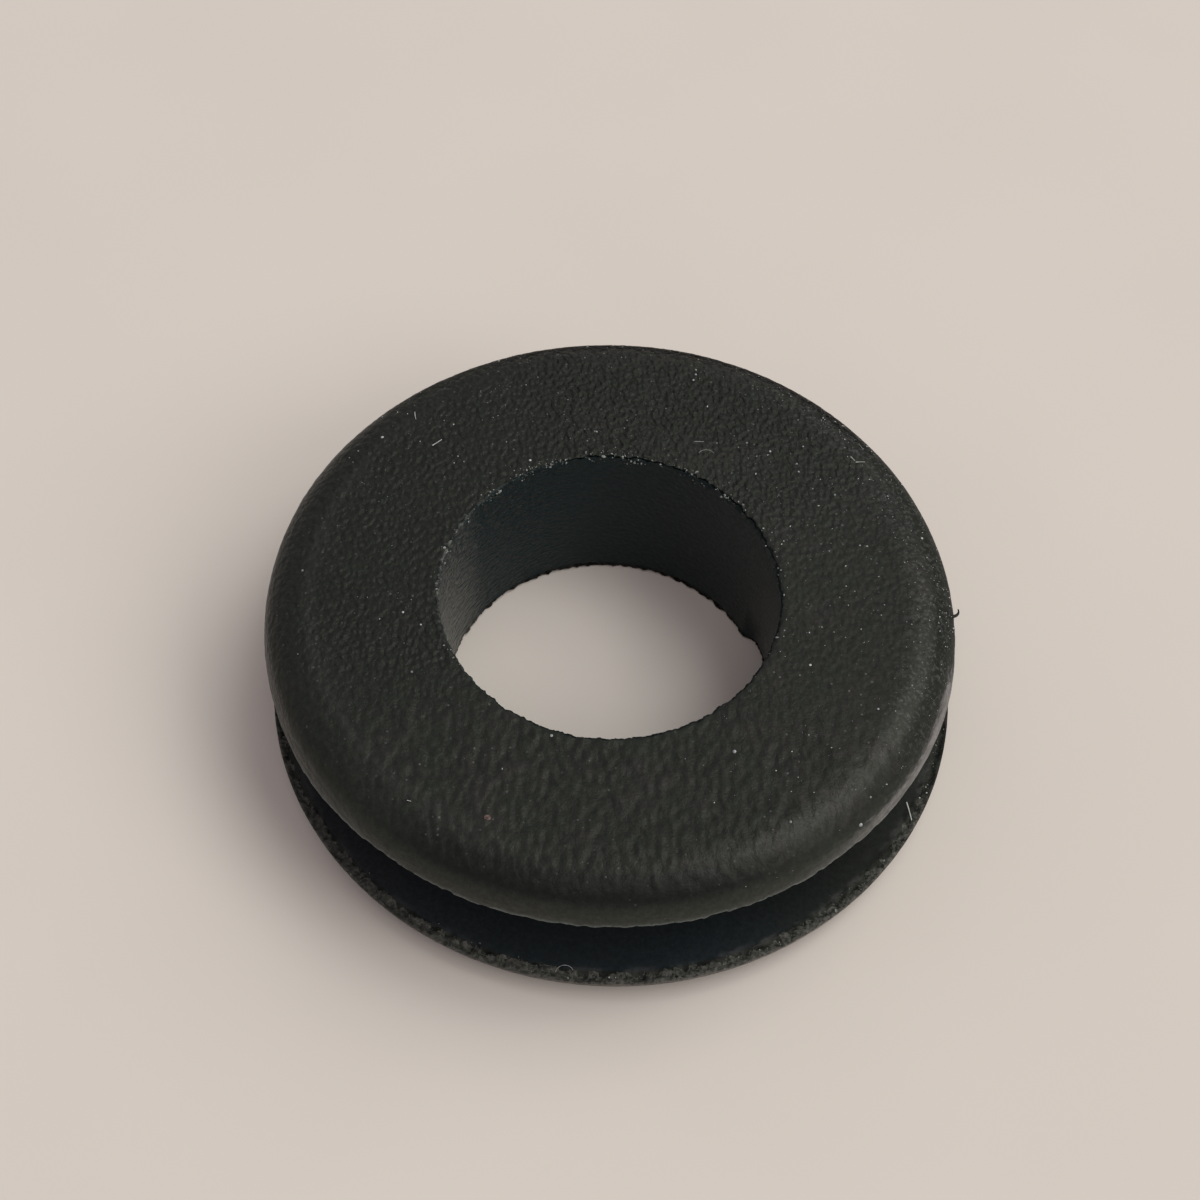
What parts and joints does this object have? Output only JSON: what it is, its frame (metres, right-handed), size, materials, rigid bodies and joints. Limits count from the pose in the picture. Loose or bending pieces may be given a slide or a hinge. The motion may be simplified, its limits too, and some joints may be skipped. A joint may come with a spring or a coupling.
{
  "type": "rubber grommet",
  "caption": "Round moulded rubber grommet with two rounded flanges, a deep groove between them for the edge of a panel hole, and a plain round bore for a cable.",
  "frame": {"origin": "centre of the bottom flange's outer face, on the bore's axis, where the grommet lies on a surface", "axes": "+Z along the bore's axis, out of the top flange; X and Y are free, because the part is round"},
  "size_m": [0.0254, 0.0254, 0.007],
  "materials": {
    "rubber": "matt charcoal moulded rubber with a fine pebbled grain"
  },
  "bodies": {
    "root": {"grommet": "rubber"}
  },
  "joints": []
}
